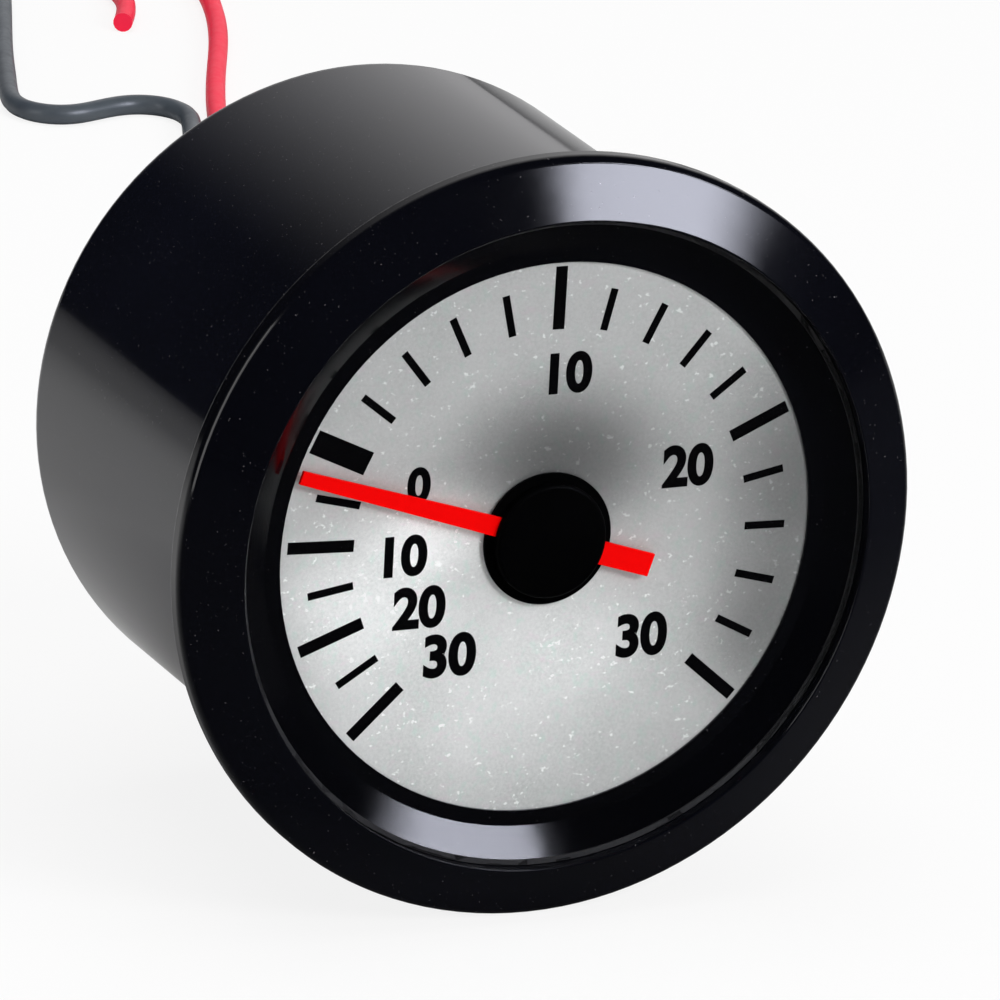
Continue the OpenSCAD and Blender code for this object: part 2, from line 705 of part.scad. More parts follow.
// Post on the back plate that holds the outer end of the hairspring
module hairspring_post() {
    a = spring_clock + spring_turns * 360;
    r = spring_to_r + spring_t / 2 + spring_post_r + fit / 2;
    color("gold") bar(r * [cos(a), sin(a)], spring_y, back_plate_y - spring_y, spring_post_r);
}

// Outline of both plates, with the holes for the two arbors
module plate_outline(screw_places) {
    reach = plate_back + pivot_run + plate_front;
    difference() {
        rotate(mesh_angle) translate([-plate_back, -plate_half_w]) union() {
            translate([plate_corner_r, 0]) square([reach - 2 * plate_corner_r, 2 * plate_half_w]);
            translate([0, plate_corner_r]) square([reach, 2 * (plate_half_w - plate_corner_r)]);
            for (x = [plate_corner_r, reach - plate_corner_r],
                y = [plate_corner_r, 2 * plate_half_w - plate_corner_r])
                translate([x, y]) circle(plate_corner_r);
        }
        circle(pinion_arbor_r + run);
        translate(pivot) circle(sector_arbor_r + run);
        for (p = screw_places) movement_place(p) circle(screw_r + fit);
    }
}

// Front plate of the movement
module front_plate() {
    color("gold") slab(plate_set, front_plate_t) plate_outline(pillar_places);
}

// Back plate of the movement, screwed to the socket's posts
module back_plate() {
    color("gold") slab(back_plate_y, back_plate_t)
        plate_outline(concat(pillar_places, post_places));
}

// Three pillars between the plates, tapped at both ends
module pillars() {
    color("goldenrod") for (p = pillar_places) difference() {
        bar(movement_at(p), plate_y, plate_gap, pillar_r);
        bar(movement_at(p), plate_y - over, plate_gap + 2 * over, screw_r + fit / 2);
    }
}

// Screws through both plates into the pillars
module plate_screws() {
    color("silver") for (p = pillar_places) {
        slot_screw(movement_at(p), plate_set, 1);
        slot_screw(movement_at(p), socket_plate_y, -1);
    }
}

// Two screws through the back plate into the socket's posts
module movement_screws() {
    color("silver") for (p = post_places) slot_screw(movement_at(p), back_plate_y, 1);
}

// Two pins on the back plate that the sector's arms meet at the ends of its swing
module stop_pins() {
    edge = (sector_half_teeth + 1 / 2) * tooth_step;
    off = asin((stop_r + fit) / stop_reach);
    drift = (sector_first + sector_half_teeth + 1 / 2) * tooth_step - sector_mid;
    color("silver") for (side = [-1, 1]) {
        a = 180 + mesh_angle + side * (half_swing + edge + off) - drift;
        bar(pivot + stop_reach * [cos(a), sin(a)], plate_y + pinion_w / 2,
            back_plate_y - plate_y - pinion_w / 2, stop_r);
    }
}

// Toothed sector: a hub, two arms and the rim with its teeth
module sector_gear() {
    mid = 180 + mesh_angle;
    from = mid - (sector_last + 1) * tooth_step;
    span = (sector_last - sector_first + 1) * tooth_step;
    rim_r = sector_pitch_r - dedendum_share * gear_module;
    color("gold") difference() {
        slab(sector_y, sector_t) translate(pivot) {
            circle(sector_hub_r);
            polygon(concat(
                [for (i = [sector_last : -1 : sector_first])
                    each tooth(sector_pitch_r, sector_teeth, mid - (i + 1 / 2) * tooth_step)],
                arc([0, 0], rim_r - sector_rim, from + span, from, 24)));
            for (a = [from, from + span]) rotate(a)
                translate([0, a == from ? 0 : -arm_w]) square([rim_r - sector_rim / 2, arm_w]);
        }
        bar(pivot, sector_y - over, sector_t + 2 * over, sector_arbor_r + fit / 2);
    }
}

// Arbor that carries the sector between the plates and its tail behind them
module sector_arbor() {
    color("silver")
        bar(pivot, plate_set - screw_head_t / 2,
            sector_tail_y + sector_tail_t - plate_set + screw_head_t / 2, sector_arbor_r);
}

// Tail on the rear end of the sector's arbor
module sector_tail() {
    color("gold") difference() {
        slab(sector_tail_y, sector_tail_t) {
            translate(pivot) circle(sector_hub_r);
            strap(pivot, tail_pin_at, link_w);
        }
        bar(pivot, sector_tail_y - over, sector_tail_t + 2 * over, sector_arbor_r + fit / 2);
        bar(tail_pin_at, sector_tail_y - over, sector_tail_t + 2 * over, pin_r + fit / 2);
    }
}

// Pin in the tail, with its head behind the link
module tail_pin() {
    color("silver") {
        bar(tail_pin_at, sector_tail_y, link_y + link_t + pin_lift - sector_tail_y, pin_r);
        bar(tail_pin_at, link_y + link_t + pin_lift, pin_head_t, pin_head_r);
    }
}

// Link from the tube's end to the sector's tail
module link() {
    color("gold") slab(link_y, link_t) difference() {
        union() {
            strap(link_pin_at, tail_pin_at, link_w);
            for (p = [link_pin_at, tail_pin_at]) translate(p) circle(link_w * 2 / 3);
        }
        translate(link_pin_at) circle(pin_r + run);
        translate(tail_pin_at) circle(pin_r + link_play);
    }
}

// Pin in the tube's end cap, with its head in front of the link
module link_pin() {
    color("silver") {
        bar(link_pin_at, link_y - pin_lift, tube_cap_y + tube_lug_t - link_y + pin_lift, pin_r);
        bar(link_pin_at, link_y - pin_lift - pin_head_t, pin_head_t, pin_head_r);
    }
}

// Outline of the flattened tube about its own middle, grown by extra
module tube_section(extra) {
    t = tube_t + 2 * extra;
    w = tube_w + 2 * extra;
    square([t, w - t], center = true);
    for (s = [-1, 1]) translate([0, s * (w - t) / 2]) circle(t / 2);
}

// Curved, flattened tube that straightens as the pressure rises
module bourdon_tube() {
    color("goldenrod") ring_part(tube_clock - tube_grip, tube_arc + 2 * tube_grip)
        translate([tube_r, tube_mid_y]) difference() {
            tube_section(0);
            tube_section(-tube_wall);
        }
}

// Block about the tube's section over an angle, with the pocket that takes the tube
module tube_block(from, angle, pocket_from) {
    difference() {
        ring_part(from, angle) translate([tube_r, tube_mid_y])
            square([tube_t + 2 * tube_seat, tube_w + 2 * tube_seat], center = true);
        ring_part(pocket_from, tube_grip + fit) translate([tube_r, tube_mid_y])
            tube_section(fit / 2);
    }
}

// Cap on the tube's free end, with the lug for the link
module tube_end() {
    cap_arc = 3 * tube_grip;
    color("gold") difference() {
        union() {
            tube_block(tube_end_clock, cap_arc, tube_end_clock);
            slab(tube_cap_y, tube_lug_t) {
                translate(link_pin_at) circle(link_w);
                strap(link_pin_at, clock(tube_r, tube_end_clock + cap_arc / 2), link_w);
            }
        }
        bar(link_pin_at, tube_cap_y - over, tube_lug_t + 2 * over, pin_r + fit / 2);
    }
}

// Brass socket: posts for the movement, arm for the tube, threaded stem with the pressure port
module pressure_socket() {
    foot_y = back_inner_y - socket_seal_t;
    stem_end = barrel_len + stem_len;
    groove_y = barrel_len + stem_washer_t + stem_nut_h + groove_w / 2;
    block_arc = 5 * tube_grip;
    block_mid = tube_clock - block_arc / 2;
    block_out = tube_r + tube_t / 2;
    passage_y = tube_mid_y;
    tube_at = clock(tube_r, tube_clock - tube_grip);
    turn_at = clock(tube_r, block_mid);
    pipe = tube_at - turn_at;
    color("goldenrod") difference() {
        union() {
            turned() polygon([
                [0, socket_y], [socket_r, socket_y], [socket_r, socket_y + head_len],
                [waist_r, socket_y + head_len], [waist_r, foot_y - foot_len],
                [socket_r, foot_y - foot_len], [socket_r, foot_y], [stem_r, foot_y],
                [stem_r, groove_y], [stem_r - groove_deep, groove_y],
                [stem_r - groove_deep, groove_y + groove_w], [stem_r, groove_y + groove_w],
                [stem_r, stem_end - stem_bevel], [stem_r - stem_bevel, stem_end], [0, stem_end]]);
            for (p = post_places) bar(movement_at(p), socket_plate_y, linkage_room + over, post_r);
            tube_block(tube_clock - block_arc, block_arc, tube_clock - tube_grip);
            slab(socket_y, head_len) rotate(90 - block_mid)
                translate([0, -socket_arm_w / 2])
                    square([tube_r - tube_t / 2 - tube_seat / 2, socket_arm_w]);
        }
        for (p = post_places)
            bar(movement_at(p), socket_plate_y - over, screw_len + over, screw_r + fit / 2);
        bar([0, 0], passage_y, stem_end + over - passage_y, port_r);
        translate([0, passage_y, 0]) rotate([0, block_mid, 0])
            cylinder(r = tube_t / 4, h = tube_r);
        translate([turn_at[0], passage_y, turn_at[1]]) rotate([0, atan2(pipe[0], pipe[1]), 0])
            cylinder(r = tube_t / 4, h = norm(pipe));
    }
}

// Seal between the socket's foot and the back of the case
module socket_seal() {
    color("darkslategray") turned()
        translate([stem_r + fit, back_inner_y - socket_seal_t])
            square([socket_r - stem_r - fit, socket_seal_t]);
}

// Washer under the stem's nut
module stem_washer() {
    color("silver") turned()
        translate([stem_r + fit, barrel_len])
            square([stem_washer_r - stem_r - fit, stem_washer_t]);
}

// Nut that clamps the socket to the back of the case
module stem_nut() {
    color("goldenrod")
        hex_nut([0, 0], barrel_len + stem_washer_t, stem_nut_h, stem_nut_af, stem_r + fit / 2);
}

// Two studs for a bracket, their heads inside the case
module rear_studs() {
    bevel = stud_r / 4;
    groove_y = barrel_len + stud_washer_t + stud_nut_h + stud_groove_w / 2;
    color("silver") for (p = stud_places) translate([p[0], 0, p[1]]) turned() polygon([
        [0, back_inner_y - stud_head_t], [stud_head_r, back_inner_y - stud_head_t],
        [stud_head_r, back_inner_y], [stud_r, back_inner_y], [stud_r, groove_y],
        [stud_r - stud_groove_deep, groove_y],
        [stud_r - stud_groove_deep, groove_y + stud_groove_w], [stud_r, groove_y + stud_groove_w],
        [stud_r, barrel_len + stud_len - bevel], [stud_r - bevel, barrel_len + stud_len],
        [0, barrel_len + stud_len]]);
}

// Washers on the studs
module stud_washers() {
    color("silver") for (p = stud_places) difference() {
        bar(p, barrel_len, stud_washer_t, stud_washer_r);
        bar(p, barrel_len - over, stud_washer_t + 2 * over, stud_r + fit);
    }
}

// Nuts on the studs
module stud_nuts() {
    color("silver") for (p = stud_places)
        hex_nut(p, barrel_len + stud_washer_t, stud_nut_h, stud_nut_af, stud_r + fit / 2);
}

// Black lamp socket, turned into the back, with lugs inside and a neck for the leads outside
module lamp_socket() {
    lug_y = back_inner_y - lug_w;
    pit_y = lamp_front_y + wedge_len + fit;
    color("dimgray") difference() {
        union() {
            bar(lamp_at, lamp_front_y, lamp_flange_y - lamp_front_y, lamp_body_r);
            bar(lamp_at, lamp_flange_y, lamp_flange_t, lamp_flange_r);
            bar(lamp_at, lamp_neck_y, lamp_neck_len, lamp_neck_r);
            slab(lug_y, lug_w - fit) translate(lamp_at)
                square([2 * (lamp_body_r + lug_out), lug_w], center = true);
        }
        slab(lamp_front_y - over, pit_y - lamp_front_y + over) translate(lamp_at)
            square([wedge_w + 2 * fit, wedge_t + 2 * contact_t + 4 * fit], center = true);
        for (s = [-1, 1])
            slab(pit_y - over, lamp_neck_y - pit_y + over)
                translate(lamp_at + [0, s * (wedge_t / 2 + contact_t / 2 + fit)])
                    square([contact_w + 2 * fit, contact_t + 2 * fit], center = true);
    }
}

// Rubber ring under the lamp socket's flange
module lamp_seal() {
    color("darkslategray") difference() {
        bar(lamp_at, barrel_len, lamp_seal_t, lamp_flange_r);
        bar(lamp_at, barrel_len - over, lamp_seal_t + 2 * over, lamp_body_r + fit);
    }
}

// Two brass strips that touch the bulb's base and take the leads
module lamp_contacts() {
    color("gold") for (s = [-1, 1])
        slab(lamp_front_y + fit, lamp_neck_y - lamp_front_y - 2 * fit)
            translate(lamp_at + [0, s * (wedge_t / 2 + contact_t / 2 + fit)])
                square([contact_w, contact_t], center = true);
}

// Glass bulb with a round end and a flat wedge base
module lamp_bulb() {
    end_y = lamp_front_y - bulb_len;
    rear_y = lamp_front_y - fit;
    inner_r = bulb_r - bulb_wall;
    color([0.95, 0.95, 0.9, 0.5]) {
        translate([lamp_at[0], 0, lamp_at[1]]) turned() polygon(concat(
            [[0, end_y]],
            arc([0, end_y + bulb_r], bulb_r, -80, 0, 8),
            [[bulb_r, rear_y], [0, rear_y], [0, rear_y - 2 * bulb_wall],
                [inner_r, rear_y - 2 * bulb_wall]],
            arc([0, end_y + bulb_r], inner_r, 0, -80, 8),
            [[0, end_y + bulb_wall]]));
        slab(rear_y, wedge_len) translate(lamp_at) square([wedge_w, wedge_t], center = true);
    }
}

// Filament across two supports that stand on the bulb's closed rear end
module lamp_filament() {
    foot_y = lamp_front_y - fit - 2 * bulb_wall;
    rise = bulb_len / 2;
    half = bulb_r / 2;
    color("silver") {
        for (s = [-1, 1]) bar(lamp_at + [s * half, 0], foot_y - rise, rise, filament_r);
        translate([lamp_at[0] - half, foot_y - rise, lamp_at[1]])
            rotate([0, 90, 0]) cylinder(r = filament_r, h = 2 * half);
    }
}

// Tapered rubber boot on the neck of the lamp socket
module lead_boot() {
    color("dimgray") translate([lamp_at[0], boot_y, lamp_at[1]]) rotate([-90, 0, 0])
        cylinder(r1 = lamp_neck_r, r2 = boot_end_r, h = boot_len);
}

// Ring of points about one point of a route, square to the way the route runs there
function route_ring(route, i) =
    let (
        last = len(route) - 1,
        ahead = route[min(i + 1, last)] - route[i],
        behind = route[i] - route[max(i - 1, 0)],
        way = (i == 0 ? ahead : i == last ? behind
            : ahead / norm(ahead) + behind / norm(behind)),
        dir = way / norm(way),
        flat = cross(dir, [0, 0, 1]),
        side = flat / norm(flat),
        up = cross(side, dir))
    [for (k = [0 : lead_sides - 1])
        let (a = 360 / lead_sides * (k + 1 / 2), grow = 1 / cos(180 / lead_sides))
        route[i] + lead_r * grow * (cos(a) * side + sin(a) * up)];

// Closed tube swept along a route
module swept_lead(route) {
    count = len(route);
    n = lead_sides;
    points = [for (i = [0 : count - 1]) each route_ring(route, i)];
    walls = [for (i = [0 : count - 2], k = [0 : n - 1])
        each [
            [i * n + k, i * n + (k + 1) % n, (i + 1) * n + k],
            [i * n + (k + 1) % n, (i + 1) * n + (k + 1) % n, (i + 1) * n + k]]];
    ends = [for (k = [1 : n - 2]) each [
        [0, k + 1, k],
        [(count - 1) * n, (count - 1) * n + k, (count - 1) * n + k + 1]]];
    polyhedron(points = points, faces = concat(walls, ends));
}

// Positive lead of the lamp
module red_lead() {
    start = [red_exit, red_exit + [0, 2 * lead_d, 0]];
    color("crimson") swept_lead(concat(start, red_route));
}

// Ground lead of the lamp
module black_lead() {
    start = [black_exit, black_exit + [0, 2 * lead_d, 0]];
    color("darkslategray") swept_lead(concat(start, black_route));
}

case_shell();
bezel_ring();
lens();
lens_gasket();
dial_surround();
dial_plate();
light_ring();
pointer();
pointer_hub();
hub_cap();
pinion_arbor();
hairspring_collet();
hairspring();
hairspring_post();
front_plate();
back_plate();
pillars();
plate_screws();
movement_screws();
stop_pins();
sector_gear();
sector_arbor();
sector_tail();
tail_pin();
link();
link_pin();
tube_end();
bourdon_tube();
pressure_socket();
socket_seal();
stem_washer();
stem_nut();
rear_studs();
stud_washers();
stud_nuts();
lamp_socket();
lamp_seal();
lamp_contacts();
lamp_bulb();
lamp_filament();
lead_boot();
red_lead();
black_lead();
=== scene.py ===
"""Looks of a 52 mm boost gauge: finishes, printed dial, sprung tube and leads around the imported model."""

import json
import math

import bpy
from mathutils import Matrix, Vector

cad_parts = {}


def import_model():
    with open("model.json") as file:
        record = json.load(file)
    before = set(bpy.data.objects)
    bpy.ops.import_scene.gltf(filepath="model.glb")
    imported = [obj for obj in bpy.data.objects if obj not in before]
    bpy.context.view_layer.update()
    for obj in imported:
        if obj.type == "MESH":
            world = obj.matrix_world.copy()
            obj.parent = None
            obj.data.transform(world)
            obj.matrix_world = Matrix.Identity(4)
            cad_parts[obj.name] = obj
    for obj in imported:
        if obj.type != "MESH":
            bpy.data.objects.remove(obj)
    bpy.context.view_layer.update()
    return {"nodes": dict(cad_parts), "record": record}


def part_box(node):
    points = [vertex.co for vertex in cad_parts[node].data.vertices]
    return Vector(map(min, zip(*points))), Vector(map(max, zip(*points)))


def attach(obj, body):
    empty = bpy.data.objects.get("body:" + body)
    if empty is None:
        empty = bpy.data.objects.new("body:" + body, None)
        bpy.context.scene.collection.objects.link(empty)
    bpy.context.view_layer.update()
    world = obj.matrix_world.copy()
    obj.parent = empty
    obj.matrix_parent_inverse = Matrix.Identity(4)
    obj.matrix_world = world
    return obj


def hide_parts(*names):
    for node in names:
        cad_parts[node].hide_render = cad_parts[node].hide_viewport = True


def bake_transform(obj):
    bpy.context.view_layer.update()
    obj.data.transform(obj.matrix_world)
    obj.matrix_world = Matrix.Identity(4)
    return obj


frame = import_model()
nodes = frame["nodes"]
scene = bpy.context.scene

# Lengths are in millimetres, apart from those of the camera's place, the floor and the lamps, in metres
MM = 0.001


# Camera, as fitted to the ellipses of the bezel and the barrel

CAMERA_PLACE = (-0.41297, -0.90895, 0.32963)
CAMERA_TURN = (71.831, -2.729, -23.363)
CAMERA_LENS = 502.5
CAMERA_CLIP = (0.05, 20)
SENSOR_WIDTH = 36


def add_camera():
    """Camera at the photograph's viewing angle."""
    data = bpy.data.cameras.new("camera")
    data.lens = CAMERA_LENS
    data.sensor_width = SENSOR_WIDTH
    data.clip_start, data.clip_end = CAMERA_CLIP
    obj = bpy.data.objects.new("camera", data)
    obj.location = CAMERA_PLACE
    obj.rotation_euler = [math.radians(angle) for angle in CAMERA_TURN]
    scene.collection.objects.link(obj)
    scene.camera = obj


add_camera()
scene.view_settings.view_transform = "Standard"


# Node trees

class Nodes:
    """Short calls for the nodes that the finishes, the lamps and the world share."""

    def __init__(self, tree):
        self.tree = tree

    def add(self, kind, **values):
        """New node with its own settings."""
        node = self.tree.nodes.new(kind)
        for key, value in values.items():
            setattr(node, key, value)
        return node

    def link(self, source, target):
        """Joins an output to an input."""
        self.tree.links.new(source, target)

    def feed(self, socket, value):
        """Gives an input a number, a colour or another node's output."""
        if isinstance(value, (int, float)):
            socket.default_value = value
        elif isinstance(value, tuple):
            socket.default_value = (*value, 1)
        else:
            self.link(value, socket)

    def math(self, operation, a, b):
        """One sum, product or other operation on two values."""
        node = self.add("ShaderNodeMath", operation=operation)
        self.feed(node.inputs[0], a)
        self.feed(node.inputs[1], b)
        return node.outputs[0]

    def range(self, value, low, high, to_low=0, to_high=1, kind="LINEAR"):
        """Maps low and high of a value to two other numbers, straight or along a soft curve."""
        node = self.add("ShaderNodeMapRange", interpolation_type=kind)
        limits = {"From Min": low, "From Max": high, "To Min": to_low, "To Max": to_high}
        for name, number in limits.items():
            node.inputs[name].default_value = number
        self.link(value, node.inputs["Value"])
        return node.outputs["Result"]

    def split(self, vector):
        """The three parts of a vector, by the names X, Y and Z."""
        node = self.add("ShaderNodeSeparateXYZ")
        self.link(vector, node.inputs[0])
        return node.outputs

    def coordinates(self, name):
        """One kind of texture coordinates."""
        return self.add("ShaderNodeTexCoord").outputs[name]

    def away(self, vector, centre=(0, 0, 0)):
        """Distance of a vector from a point."""
        node = self.add("ShaderNodeVectorMath", operation="DISTANCE")
        self.link(vector, node.inputs[0])
        node.inputs[1].default_value = centre
        return node.outputs["Value"]


class Shader(Nodes):
    """One material: its node tree, its principled shader and the textures that the finishes share."""

    def __init__(self, name):
        self.material = bpy.data.materials.new(name)
        self.material.use_nodes = True
        super().__init__(self.material.node_tree)
        self.tree.nodes.clear()
        self.output = self.add("ShaderNodeOutputMaterial")
        self.body = self.add("ShaderNodeBsdfPrincipled")
        self.link(self.body.outputs["BSDF"], self.output.inputs["Surface"])

    def place(self, scale, shift=(0, 0, 0)):
        """Object coordinates in millimetres, scaled and then shifted."""
        mapping = self.add("ShaderNodeMapping")
        mapping.inputs["Location"].default_value = shift
        mapping.inputs["Scale"].default_value = [factor / MM for factor in scale]
        self.link(self.coordinates("Object"), mapping.inputs["Vector"])
        return mapping.outputs["Vector"]

    def noise(self, scale, detail=3, rough=0.5, stretch=(1, 1, 1)):
        """Noise with so many waves a millimetre."""
        node = self.add("ShaderNodeTexNoise")
        for name, number in {"Scale": scale, "Detail": detail, "Roughness": rough}.items():
            node.inputs[name].default_value = number
        self.link(self.place(stretch), node.inputs["Vector"])
        return node.outputs["Fac"]

    def ramp(self, value, stops):
        """Colour ramp through stops, each a place from 0 to 1 and a colour."""
        node = self.add("ShaderNodeValToRGB")
        elements = node.color_ramp.elements
        for place, _ in stops[1:-1]:
            elements.new(place)
        for element, (place, colour) in zip(elements, stops):
            element.position = place
            element.color = (*colour, 1)
        self.link(value, node.inputs["Fac"])
        return node.outputs["Color"]

    def mix(self, factor, a, b, blend="MIX"):
        """Mix of two colours."""
        node = self.add("ShaderNodeMix", data_type="RGBA", blend_type=blend)
        colours = [socket for socket in node.inputs if socket.type == "RGBA"]
        for socket, value in ((node.inputs[0], factor), (colours[0], a), (colours[1], b)):
            self.feed(socket, value)
        return next(socket for socket in node.outputs if socket.type == "RGBA")

    def painted_light_patch(self, across, up, half_wide, half_high, gain):
        """Gain at a place on the dial, which fades to one at the patch's edge: above one a painted
        highlight, below one a painted shade.
        """
        spot = self.place((1 / half_wide, 0, 1 / half_high), (-across / half_wide, 0, -up / half_high))
        return self.range(self.away(spot), 0, 1, gain, 1, "SMOOTHERSTEP")

    def bump(self, height, strength, distance):
        """Fine relief on the surface, so many millimetres high."""
        node = self.add("ShaderNodeBump")
        node.inputs["Strength"].default_value = strength
        node.inputs["Distance"].default_value = distance * MM
        self.link(height, node.inputs["Height"])
        self.link(node.outputs["Normal"], self.body.inputs["Normal"])

    def vary(self, value, middle, less, more, low=0.3, high=0.7):
        """A number that goes from less to more times its middle while a noise goes from low to high."""
        return self.range(value, low, high, middle * less, middle * more)

    def set(self, **values):
        """Constant values on the principled shader's own sockets."""
        for name, value in values.items():
            self.body.inputs[name.replace("_", " ")].default_value = value

    def finish(self, colour, rough, **values):
        """Links the colour and the roughness, sets the constants and hands over the material."""
        self.link(colour, self.body.inputs["Base Color"])
        self.link(rough, self.body.inputs["Roughness"])
        self.set(**values)
        return self.material


# Finishes

DUST_COLOUR = (0.16, 0.15, 0.16)

# Stops of the dial's cloudy silver
DIAL_CLOUD = [(0.25, (0.45, 0.47, 0.46)), (0.5, (0.51, 0.52, 0.515)), (0.75, (0.57, 0.58, 0.575))]

# Flecks on the dial: the noise that they follow, its low and high, their share and their colour
DIAL_GRAIN = {"scale": 4.0, "detail": 4, "rough": 0.7}
DIAL_FLECKS = [
    (DIAL_GRAIN, 0.35, 0.65, 0.5, (0.66, 0.67, 0.66)),
    ({"scale": 1.1, "rough": 0.6, "stretch": (1.1, 1, 0.9)}, 0.54, 0.72, 0.4, (0.44, 0.58, 0.52)),
    ({"scale": 0.9, "rough": 0.6, "stretch": (0.8, 1, 1.2)}, 0.56, 0.74, 0.36, (0.6, 0.51, 0.56)),
    ({"scale": 2.0, "detail": 2, "stretch": (0.9, 1, 1.1)}, 0.66, 0.73, 0.85, (0.85, 0.88, 0.86)),
]

# Painted sheen on the dial, as soft patches of painted highlight and painted shade: place across and up,
# half width, half height, gain
DIAL_PAINTED_SHEEN = [
    (1.0, 6.0, 15.0, 10.0, 0.27),
    (22.0, 3.0, 15.0, 18.0, 0.36),
    (18.5, -9.0, 9.0, 10.0, 0.5),
    (-8.5, 1.5, 9.0, 5.5, 1.6),
    (-15.5, -3.0, 11.0, 10.0, 1.5),
    (3.0, -9.0, 9.0, 7.0, 1.15),
    (-6.0, -11.0, 27.0, 19.0, 1.55),
]


def scaled(colour, factor):
    """The same colour, lighter or darker."""
    return tuple(part * factor for part in colour)


def black_gloss(name, tint, rough, specular, dust):
    """Gloss black paint with faint ripple, fine dust specks and hairline marks."""
    shader = Shader(name)
    cloud = shader.noise(scale=0.05, detail=2)
    base = shader.ramp(cloud, [(0.3, scaled(tint, 0.8)), (0.7, scaled(tint, 1.25))])
    specks = shader.range(shader.noise(scale=5.5, detail=1, rough=0.4), low=0.78 - dust * 0.04, high=0.84)
    base = shader.mix(specks, base, DUST_COLOUR)
    smear = shader.noise(scale=0.12, detail=4, rough=0.6, stretch=(1, 0.35, 1))
    shader.bump(shader.noise(scale=0.35, detail=2), strength=0.04, distance=0.05)
    return shader.finish(base, shader.vary(smear, rough, less=0.7, more=1.6, high=0.8),
                         Specular_IOR_Level=specular)


def metal(name, light, dark, rough, grain=(1, 1, 1)):
    """Machined or plated metal with grain and slight tarnish."""
    shader = Shader(name)
    tarnish = shader.noise(scale=0.25, detail=4, rough=0.6)
    base = shader.ramp(tarnish, [(0.35, dark), (0.65, light)])
    lines = shader.noise(scale=1.2, rough=0.6, stretch=grain)
    shader.bump(lines, strength=0.1, distance=0.02)
    return shader.finish(base, shader.vary(lines, rough, less=0.7, more=1.4), Metallic=1.0)


def plastic(name, light, dark, rough, scale=2.0, bump=0.15, specular=0.5):
    """Moulded plastic or rubber with a fine grain."""
    shader = Shader(name)
    base = shader.ramp(shader.noise(scale=0.3), [(0.3, dark), (0.7, light)])
    grain = shader.noise(scale=scale, rough=0.6)
    shader.bump(grain, strength=bump, distance=0.03)
    return shader.finish(base, shader.vary(grain, rough, less=0.85, more=1.15),
                         Specular_IOR_Level=specular)


def clear(name, tint, alpha, rough):
    """Clear glass that lets the light through to what lies behind it."""
    shader = Shader(name)
    smear = shader.noise(scale=0.08)
    base = shader.ramp(smear, [(0.3, tint), (0.7, scaled(tint, 1.05))])
    return shader.finish(base, shader.vary(smear, rough, less=1, more=3), Alpha=alpha)


def ink(name, colour, rough, specular):
    """Printed or painted ink, slightly uneven."""
    shader = Shader(name)
    base = shader.ramp(shader.noise(scale=2.0), [(0.3, colour), (0.8, scaled(colour, 1.04))])
    grain = shader.noise(scale=6.0, detail=2)
    return shader.finish(base, shader.vary(grain, rough, less=0.85, more=1.1),
                         Specular_IOR_Level=specular)


def spun_silver(name):
    """Satin silver with fine speckle and faint coloured flecks, and the painted sheen of a spun disc: soft
    patches of painted highlight and painted shade.
    """
    shader = Shader(name)
    base = shader.ramp(shader.noise(scale=0.12, rough=0.55), DIAL_CLOUD)
    for noise, low, high, share, colour in DIAL_FLECKS:
        base = shader.mix(shader.range(shader.noise(**noise), low, high, to_high=share), base, colour)
    # Painted sheen: soft patches that lighten or darken the colour, as light on a spun disc would
    for painted_sheen in DIAL_PAINTED_SHEEN:
        base = shader.mix(1.0, base, shader.painted_light_patch(*painted_sheen), "MULTIPLY")
    grain = shader.noise(**DIAL_GRAIN)
    shader.bump(grain, strength=0.12, distance=0.02)
    return shader.finish(base, shader.range(grain, low=0.3, high=0.7, to_low=0.45, to_high=0.6),
                         Metallic=0.2, Specular_IOR_Level=0.3)


